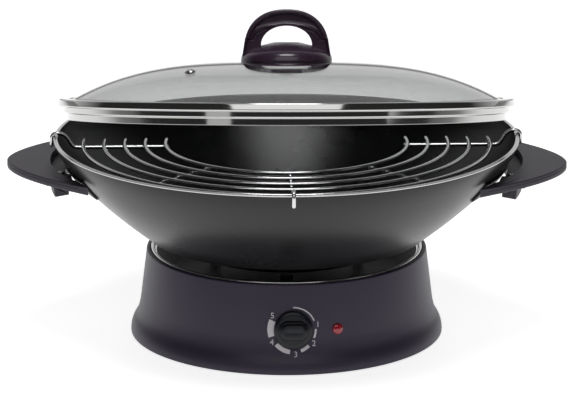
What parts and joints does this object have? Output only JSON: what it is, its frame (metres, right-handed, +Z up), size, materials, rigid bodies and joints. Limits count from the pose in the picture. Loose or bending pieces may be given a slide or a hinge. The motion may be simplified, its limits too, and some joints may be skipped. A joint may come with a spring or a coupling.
{
  "type": "electric wok",
  "caption": "Electric wok: round heated base with a control knob and lamp, a loose wide wok with wing handles, a half-moon wire rack on its rim and a domed glass lid leaning in it",
  "frame": {"origin": "middle of the object's footprint on the table, at the underside of the feet", "axes": "+Z up; -Y is the front, where the control knob is; +X is to the right seen from the front, along the two handles"},
  "size_m": [0.4344, 0.3632, 0.2555],
  "materials": {
    "base_plastic": "dark aubergine-grey moulded plastic, satin with a fine grain",
    "knob_plastic": "very dark aubergine plastic, soft gloss",
    "coated_bowl": "cast metal with a charcoal non-stick coating, satin, and a bare bright rim",
    "black_plastic": "black satin plastic",
    "red_lens": "clear red plastic, polished",
    "chrome": "bright chrome plate",
    "polished_steel": "polished stainless steel",
    "black_steel": "black heat-proof paint on sheet steel",
    "element_steel": "dark heat-tinted steel sheath",
    "zinc": "zinc-plated steel",
    "rubber": "matte black rubber",
    "beige_plastic": "off-white heat-resistant plastic",
    "lid_glass": "clear tempered glass"
  },
  "bodies": {
    "base": {"base_housing": "base_plastic", "bottom_cover": "black_plastic", "foot_1": "rubber", "foot_2": "rubber", "foot_3": "rubber", "foot_4": "rubber", "cover_screw_1": "zinc", "cover_screw_2": "zinc", "cover_screw_3": "zinc", "cover_screw_4": "zinc", "well_liner": "black_steel", "trim_ring": "chrome", "heating_element": "element_steel", "element_support_1": "zinc", "element_support_2": "zinc", "element_support_3": "zinc", "thermostat_body": "beige_plastic", "thermostat_bracket": "zinc", "sensor_tube": "zinc", "lamp_lens": "red_lens", "lamp_body": "black_plastic", "cord_gland": "rubber", "terminal_block": "beige_plastic"},
    "knob": {"control_shaft": "zinc", "control_knob": "black_plastic"},
    "wok": {"wok_bowl": "coated_bowl", "handle_left": "base_plastic", "handle_right": "base_plastic", "handle_under_left": "base_plastic", "handle_under_right": "base_plastic", "handle_bracket_left": "black_steel", "handle_bracket_right": "black_steel", "handle_screw_1": "zinc", "handle_screw_2": "zinc", "handle_screw_3": "zinc", "handle_screw_4": "zinc"},
    "rack": {"rack_rail_left": "chrome", "rack_rail_right": "chrome", "rack_arc_1": "chrome", "rack_arc_2": "chrome", "rack_arc_3": "chrome", "rack_arc_4": "chrome", "rack_arc_5": "chrome", "rack_cross_left": "chrome", "rack_cross_right": "chrome", "rack_front_hook": "chrome"},
    "lid": {"lid_ring": "polished_steel", "lid_glass": "lid_glass", "vent_eyelet": "polished_steel", "lid_knob": "knob_plastic", "knob_cover": "knob_plastic", "knob_washer": "rubber", "knob_screw": "polished_steel"}
  },
  "joints": [
    {"name": "knob_turn", "type": "hinge", "parent": "base", "child": "knob", "pos_m": [0.00514, -0.11322, 0.034], "axis": [0.045, -0.9911, 0.1252], "range_deg": [-212, 90]},
    {"name": "wok_lift", "type": "slide", "parent": "base", "child": "wok", "axis": [0, 0, 1], "range_m": [0, 0.1]},
    {"name": "rack_lift", "type": "slide", "parent": "wok", "child": "rack", "axis": [0, 0, 1], "range_m": [0, 0.06]},
    {"name": "lid_lift", "type": "slide", "parent": "rack", "child": "lid", "axis": [0, 0, 1], "range_m": [0, 0.15]}
  ]
}
